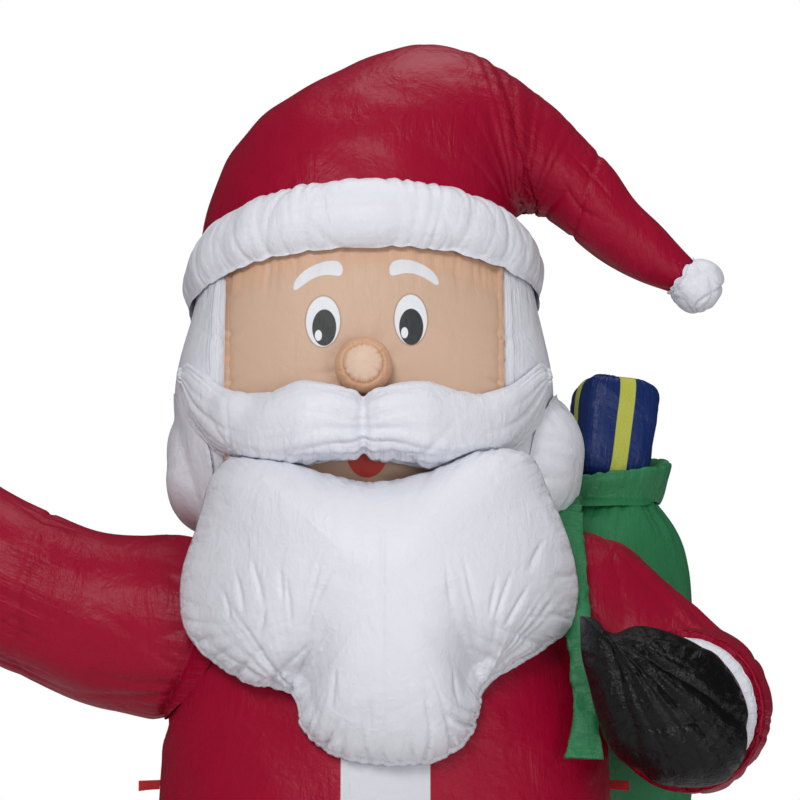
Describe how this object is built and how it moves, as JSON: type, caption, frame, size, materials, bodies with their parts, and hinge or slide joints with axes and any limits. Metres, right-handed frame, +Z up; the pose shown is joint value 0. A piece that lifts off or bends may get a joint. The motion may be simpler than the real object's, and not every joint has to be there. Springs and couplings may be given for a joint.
{
  "type": "inflatable santa figure",
  "caption": "Giant standing yard inflatable of a traditional Santa, waving one arm and holding a gift sack over the other shoulder, on a low base pad.",
  "frame": {"origin": "centre of the base pad's underside", "axes": "+Z up, -Y the way the figure faces, +X towards its left arm, which holds the sack"},
  "size_m": [2.5422, 1.4157, 3.6482],
  "materials": {
    "white_base_nylon": "satin",
    "white_nylon": "satin",
    "red_nylon": "satin",
    "black_nylon": "glossy",
    "green_nylon": "satin",
    "blue_nylon": "satin",
    "yellow_nylon": "satin",
    "skin_nylon": "satin",
    "nose_nylon": "satin",
    "red_webbing": "matt"
  },
  "bodies": {
    "root": {"base": "white_base_nylon", "left_boot": "black_nylon", "right_boot": "black_nylon", "left_boot_cuff": "white_nylon", "right_boot_cuff": "white_nylon", "left_leg": "red_nylon", "right_leg": "red_nylon", "coat": "red_nylon", "coat_hem": "white_nylon", "belt": "black_nylon", "buckle": "yellow_nylon", "left_tether_tab": "red_webbing", "right_tether_tab": "red_webbing", "waving_sleeve": "red_nylon", "waving_cuff": "white_nylon", "waving_mitten": "black_nylon", "holding_sleeve": "red_nylon", "holding_cuff": "white_nylon", "holding_mitten": "black_nylon", "sack": "green_nylon", "sack_collar": "green_nylon", "sack_strap": "green_nylon", "present": "blue_nylon", "face": "skin_nylon", "hair": "white_nylon", "nose": "nose_nylon", "whiskers": "white_nylon", "moustache": "white_nylon", "beard": "white_nylon", "hat": "red_nylon", "hat_brim": "white_nylon", "hat_pompom": "white_nylon"}
  },
  "joints": []
}
